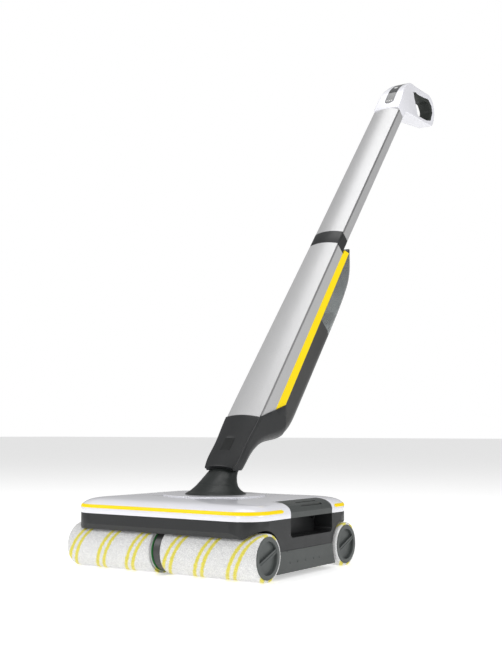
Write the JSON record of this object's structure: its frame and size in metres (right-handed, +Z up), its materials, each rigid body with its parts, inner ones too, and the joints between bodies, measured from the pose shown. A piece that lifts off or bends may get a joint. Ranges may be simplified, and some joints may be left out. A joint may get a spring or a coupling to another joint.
{
  "type": "wet dry floor scrubber",
  "caption": "Cordless wet floor cleaner: wide head on counter-turning plush rollers, a tilting and swivelling joint, a slim stick body with water tank, and a loop handle.",
  "frame": {"origin": "on the floor, under the middle of the floor head, where the rollers stand", "axes": "+X to the right seen from the front, +Y to the back towards the user, +Z up; the stick leans back in the Y-Z plane"},
  "size_m": [0.323, 0.9339, 0.9243],
  "materials": {
    "white_shell": "moulded white, high gloss",
    "dark_plastic": "moulded charcoal, fine satin texture",
    "silver_shell": "silver lacquered, satin",
    "silver_tube": "anodised satin",
    "accent": "vivid yellow moulding",
    "clear_tank": "clear smoky moulding",
    "soft_grip": "soft touch, matt",
    "boot_rubber": "satin moulded rubber",
    "belt_rubber": "matt rubber",
    "steel": "turned and ground",
    "motor_metal": "zinc plated can",
    "cast_alloy": "die-cast zinc, bare satin",
    "plush": "short microfibre pile",
    "core_plastic": "moulded green",
    "cap_plastic": "moulded mid grey",
    "gear_plastic": "natural acetal",
    "inner_plastic": "moulded dark grey",
    "tray_plastic": "moulded grey, satin",
    "board": "green laminate",
    "cell_pack": "shrouded cells",
    "panel_gloss": "dark glossy window",
    "badge_black": "moulded black inset, blank",
    "button_white": "white moulding"
  },
  "bodies": {
    "floor_head": {"head_chassis": "dark_plastic", "head_cover": "white_shell", "cover_stripes": "accent", "joint_plate": "white_shell", "joint_bracket": "cast_alloy", "joint_boot": "boot_rubber", "head_screws": "steel", "drive_case_left": "inner_plastic", "drive_case_right": "inner_plastic", "gear_motor": "motor_metal", "drive_belts": "belt_rubber", "axle_bearings": "steel", "water_bars": "inner_plastic", "water_hoses": "belt_rubber", "latch_springs": "steel"},
    "dirty_tray": {"dirty_tank": "tray_plastic", "hair_filters": "gear_plastic", "scraper_lips": "belt_rubber"},
    "latch_left": {"latch_left": "tray_plastic"},
    "latch_right": {"latch_right": "tray_plastic"},
    "motor_shaft": {"drive_pinion": "gear_plastic"},
    "counter_shaft": {"counter_gear": "gear_plastic"},
    "tilt_joint": {"joint_cross": "cast_alloy"},
    "stick": {"neck_yoke": "inner_plastic", "neck_collar": "dark_plastic", "neck_badge": "badge_black", "front_shell": "silver_shell", "accent_stripes": "accent", "rear_housing": "inner_plastic", "battery_pack": "cell_pack", "water_pump": "motor_metal", "control_board": "board", "charging_socket": "belt_rubber", "stick_screws": "steel", "trim_band": "dark_plastic", "upper_tube": "silver_tube", "handle_cable": "belt_rubber", "handle_shell": "white_shell", "handle_grip": "soft_grip", "control_panel": "panel_gloss", "indicator_lights": "button_white"},
    "clean_tank": {"clean_tank": "clear_tank"},
    "tank_cap": {"tank_cap": "inner_plastic"},
    "power_button": {"power_button": "button_white"},
    "front_axle": {"front_spindle": "steel", "front_pulley": "gear_plastic"},
    "front_left_roller": {"front_left_sleeve": "plush", "front_left_core": "core_plastic", "front_left_cap": "cap_plastic"},
    "front_right_roller": {"front_right_sleeve": "plush", "front_right_core": "core_plastic", "front_right_cap": "cap_plastic"},
    "rear_axle": {"rear_spindle": "steel", "rear_pulley": "gear_plastic"},
    "rear_left_roller": {"rear_left_sleeve": "plush", "rear_left_core": "core_plastic", "rear_left_cap": "cap_plastic"},
    "rear_right_roller": {"rear_right_sleeve": "plush", "rear_right_core": "core_plastic", "rear_right_cap": "cap_plastic"}
  },
  "joints": [
    {"name": "front_axle_spin", "type": "hinge", "parent": "floor_head", "child": "front_axle", "pos_m": [0, -0.10375, 0.03125], "axis": [1, 0, 0], "continuous": true},
    {"name": "rear_axle_spin", "type": "hinge", "parent": "floor_head", "child": "rear_axle", "pos_m": [0, 0.10375, 0.03125], "axis": [1, 0, 0], "continuous": true},
    {"name": "motor_spin", "type": "hinge", "parent": "floor_head", "child": "motor_shaft", "pos_m": [0, -0.042, 0.0565], "axis": [1, 0, 0], "continuous": true},
    {"name": "counter_spin", "type": "hinge", "parent": "floor_head", "child": "counter_shaft", "pos_m": [0, -0.026, 0.0565], "axis": [1, 0, 0], "continuous": true},
    {"name": "tray_drop", "type": "slide", "parent": "floor_head", "child": "dirty_tray", "axis": [0, 0, 1], "range_m": [-0.06, 0]},
    {"name": "latch_right_press", "type": "hinge", "parent": "floor_head", "child": "latch_right", "pos_m": [0.1335, 0.013, 0.0895], "axis": [0, 1, 0], "range_deg": [0, 6], "stiffness_Nm_per_rad": 0.6, "springref_deg": -6.88},
    {"name": "latch_left_press", "type": "hinge", "parent": "floor_head", "child": "latch_left", "pos_m": [-0.1335, 0.013, 0.0895], "axis": [0, -1, 0], "range_deg": [0, 6], "stiffness_Nm_per_rad": 0.6, "springref_deg": -6.88},
    {"name": "stick_tilt", "type": "hinge", "parent": "floor_head", "child": "tilt_joint", "pos_m": [0, 0.002, 0.11], "axis": [1, 0, 0], "range_deg": [-25, 39.3], "deforming": ["joint_boot"]},
    {"name": "stick_swivel", "type": "hinge", "parent": "tilt_joint", "child": "stick", "pos_m": [0, 0.002, 0.11], "axis": [0, 0.7738, -0.6334], "range_deg": [-30, 30], "deforming": ["joint_boot"]},
    {"name": "clean_tank_pull", "type": "slide", "parent": "stick", "child": "clean_tank", "axis": [0, 0.7738, -0.6334], "range_m": [0, 0.08]},
    {"name": "tank_cap_turn", "type": "hinge", "parent": "clean_tank", "child": "tank_cap", "pos_m": [0, 0.33461, 0.39085], "axis": [0, 0.7738, -0.6334], "range_deg": [0, 90]},
    {"name": "power_press", "type": "slide", "parent": "stick", "child": "power_button", "axis": [0, 0.7738, -0.6334], "range_m": [0, 0.0006], "stiffness_N_per_m": 900, "springref_m": -0.001},
    {"name": "front_left_roller_off", "type": "slide", "parent": "front_axle", "child": "front_left_roller", "axis": [-1, 0, 0], "range_m": [0, 0.15]},
    {"name": "front_right_roller_off", "type": "slide", "parent": "front_axle", "child": "front_right_roller", "axis": [1, 0, 0], "range_m": [0, 0.15]},
    {"name": "rear_left_roller_off", "type": "slide", "parent": "rear_axle", "child": "rear_left_roller", "axis": [-1, 0, 0], "range_m": [0, 0.15]},
    {"name": "rear_right_roller_off", "type": "slide", "parent": "rear_axle", "child": "rear_right_roller", "axis": [1, 0, 0], "range_m": [0, 0.15]}
  ],
  "couplings": [
    {"joint": "rear_axle_spin", "follows": "front_axle_spin", "ratio": -1},
    {"joint": "motor_spin", "follows": "front_axle_spin", "ratio": 1.8333},
    {"joint": "counter_spin", "follows": "front_axle_spin", "ratio": -1.8333}
  ]
}
